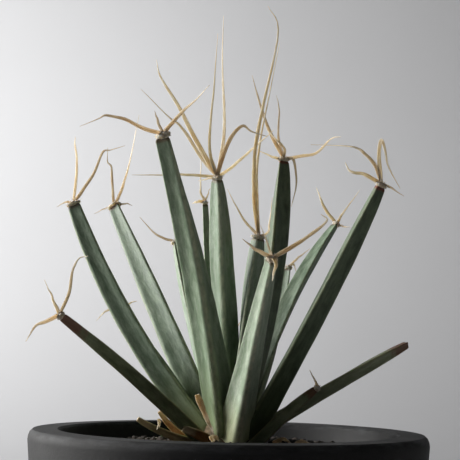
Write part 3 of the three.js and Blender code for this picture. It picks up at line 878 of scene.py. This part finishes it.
def woolMaterial():
    material, tree, shader = newMaterial("areoleWool")
    place = objectSpace(tree)
    fluff = noiseFrom(tree, place, 1400, 4, 0.7)
    colour = ramp(tree, fluff, [(0.35, shade("b59f84")), (0.55, shade("e2d3ba")), (0.72, shade("f8f1e2"))])
    tree.links.new(colour, shader.inputs["Base Color"])
    shader.inputs["Roughness"].default_value = 1
    shader.inputs["Subsurface Weight"].default_value = 0.6
    shader.inputs["Subsurface Radius"].default_value = (1, 0.8, 0.6)
    shader.inputs["Subsurface Scale"].default_value = 0.003
    addBump(tree, shader, fluff, 0.0008, 1)
    return material


def smoothPath(points, t):
    # a smooth curve through all the points (Catmull-Rom)
    legs = len(points) - 1
    leg = min(int(t * legs), legs - 1)
    u = t * legs - leg
    p1, p2 = points[leg], points[leg + 1]
    p0 = points[leg - 1] if leg > 0 else p1 * 2 - p2
    p3 = points[leg + 2] if leg + 2 <= legs else p2 * 2 - p1
    return 0.5 * (p1 * 2 + (p2 - p0) * u + (p0 * 2 - p1 * 5 + p2 * 4 - p3) * u * u
                  + (p1 * 3 - p0 - p2 * 3 + p3) * u * u * u)


def bendSpine(template, start, width, age, points, seed, material):
    piece = copyOf(template, "spine")
    path = [start] + [start + Vector(p) for p in points]
    rings = blade["rings"]
    centres = [smoothPath(path, i / rings) for i in range(rings + 1)]
    length = sum((b - a).length for a, b in zip(centres, centres[1:]))
    for i, centre in enumerate(centres):
        drift = blade["wobble"] * math.sin(math.pi * i / rings)
        centre += Vector(noise.noise_vector(Vector((seed * 3.1, i * 0.22, 0)))) * drift
    turn = dice.uniform(1.0, 2.1)
    twist = dice.uniform(-0.9, 0.9)
    frames = []
    side = Vector((0, 1, 0))
    for i in range(rings + 1):
        along = (centres[min(i + 1, rings)] - centres[max(i - 1, 0)]).normalized()
        side = (side - along * side.dot(along)).normalized()
        frames.append((along, side, along.cross(side)))
    grain, ridge, shares = [], [], []
    for vertex in piece.data.vertices:
        i = round(vertex.co.z * rings)
        t = i / rings
        along, side, face = frames[i]
        tapered = 1 - (1 - blade["tip"]) * t ** 1.6
        half = width * blade["halfShare"] * tapered * (0.75 + 0.25 * smoothStep(0, 0.12, t))
        half *= 1 + 0.15 * noise.noise(Vector((seed, t * 9, 5)))
        angle = math.atan2(vertex.co.y, vertex.co.x)
        a, b = math.cos(angle) * half, math.sin(angle) * max(half * blade["thin"], blade["thinnest"])
        b += 0.25 * half * (a / half) ** 2
        lay = turn + twist * t
        x, y = a * math.cos(lay) - b * math.sin(lay), a * math.sin(lay) + b * math.cos(lay)
        vertex.co = (centres[i] + side * x + face * y) * mm
        grain.append((a, b + seed, length * t))
        ridge.append(0)
        shares.append(t)
    keepGrain(piece, grain, ridge)
    for name, values in (("share", shares), ("age", [age] * len(shares))):
        kept = piece.data.attributes.new(name, "FLOAT", "POINT")
        kept.data.foreach_set("value", values)
    smoothPiece(piece, 50)
    piece.data.materials.append(material)
    return piece


def makePad(middle, along, radius, seed, wool):
    # the areole: a low felted pad that sits over the tubercle's cut-off tip
    deselect()
    bpy.ops.mesh.primitive_ico_sphere_add(subdivisions=3, radius=1)
    pad = bpy.context.object
    lay = Vector((0, 0, 1)).rotation_difference(along)
    for vertex in pad.data.vertices:
        felt = 1 + 0.3 * noise.noise(vertex.co * 3.1 + Vector((seed, 0, 0)))
        local = Vector((vertex.co.x * radius, vertex.co.y * radius, vertex.co.z * blade["pad"] * 0.55)) * felt
        vertex.co = (middle + lay @ local) * mm
    smoothPiece(pad)
    pad.data.materials.append(wool)
    return pad


def makeTuft(hair, middle, along, radius, seed, paper):
    # short wool standing out of the areole on all sides: one straight hair, copied and laid anew
    lay = Vector((0, 0, 1)).rotation_difference(along)
    hairs = []
    for i in range(blade["hairs"]):
        piece = copyOf(hair, "hair")
        around = dice.uniform(0, math.tau)
        opening = math.radians(dice.uniform(5, 88))
        wide = math.sin(opening)
        out = lay @ Vector((wide * math.cos(around), wide * math.sin(around), math.cos(opening)))
        foot = middle + lay @ Vector((math.cos(around), math.sin(around), 0)) * radius * 0.55 * wide
        long = radius * dice.uniform(0.35, 0.75) + 0.4
        side = out.orthogonal().normalized()
        face = out.cross(side)
        bow = Vector(noise.noise_vector(Vector((seed, i, 0)))) * long * 0.5
        for vertex in piece.data.vertices:
            t = vertex.co.z
            half = blade["hair"] * (1 - 0.7 * t)
            spot = foot + out * long * t + bow * t * t + (side * vertex.co.x + face * vertex.co.y) * half
            vertex.co = spot * mm
        keepGrain(piece, [(0, i, 0)] * len(piece.data.vertices), [0] * len(piece.data.vertices))
        tone = dice.choice((0, 0.1, 0.5, 1))
        for name, value in (("share", 0.5), ("age", tone)):
            kept = piece.data.attributes.new(name, "FLOAT", "POINT")
            kept.data.foreach_set("value", [value] * len(piece.data.vertices))
        piece.data.materials.append(paper)
        hairs.append(piece)
    return hairs


def makeSpines():
    template = makeShaft("straightSpine", blade["sides"], blade["rings"])
    hair = makeShaft("straightHair", 3, 2)
    paper, wool = paperMaterial(), woolMaterial()
    seed = 0
    for spec in tubercles:
        if spec["name"] not in spines:
            continue
        tip, lay = walkLine(spec, [i / 20 for i in range(21)])[-1]
        along = lay[0]
        middle = tip + along * (blade["clearance"] + blade["pad"] / 2)
        radius = spec["width"] * spec["tip"] * blade["padShare"]
        parts = [makePad(middle - along * 0.4, along, radius, seed, wool)]
        parts += makeTuft(hair, middle - along * 0.3, along, radius, seed, paper)
        for width, age, points in spines[spec["name"]]:
            seed += 1
            parts.append(bendSpine(template, middle, width, age, points, seed, paper))
        cluster = joinPieces(parts, "areole_" + spec["name"])
        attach(cluster, "root")
        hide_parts("spines_" + spec["name"])
    for piece in (template, hair):
        bpy.data.objects.remove(piece)


# dry strands and scraps caught between the tubercles' bases: width, age and points in mm
litter = [
    (1.5, 0.9, [(-11.9, -12, 138.2), (-10.8, -13, 135.8), (-9.6, -14, 133), (-8.4, -15, 130.4),
                (-7.3, -16, 128.4), (-6.2, -17, 126.5), (-5.4, -19, 124.2)]),
    (0.8, 0.3, [(-24.4, -30, 130.2), (-24.2, -31, 128.4), (-24.9, -32, 126.6)]),
    (1.6, 0.2, [(-6.2, -32, 123.6), (-4.7, -33, 124.5), (-3.4, -33, 123.4)]),
    (1.2, 0.6, [(16, -12, 121.4), (19.8, -10, 122.8), (23, -9, 121.2)]),
    (1.1, 0.8, [(24, -13, 121.2), (27, -11, 122.2), (31, -12, 120.6)]),
]


def makeLitter():
    template = makeShaft("straightScrap", blade["sides"], blade["rings"])
    paper = bpy.data.materials["paperySpine"]
    scraps = []
    for seed, (width, age, points) in enumerate(litter):
        start = Vector(points[0])
        steps = [Vector(point) - start for point in points[1:]]
        scraps.append(bendSpine(template, start, width * blade["scrapShare"], age, steps, 90 + seed, paper))
    scraps = joinPieces(scraps, "dryScraps")
    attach(scraps, "root")
    bpy.data.objects.remove(template)


makeSpines()
makeLitter()
print("areoles, spines and scraps made")
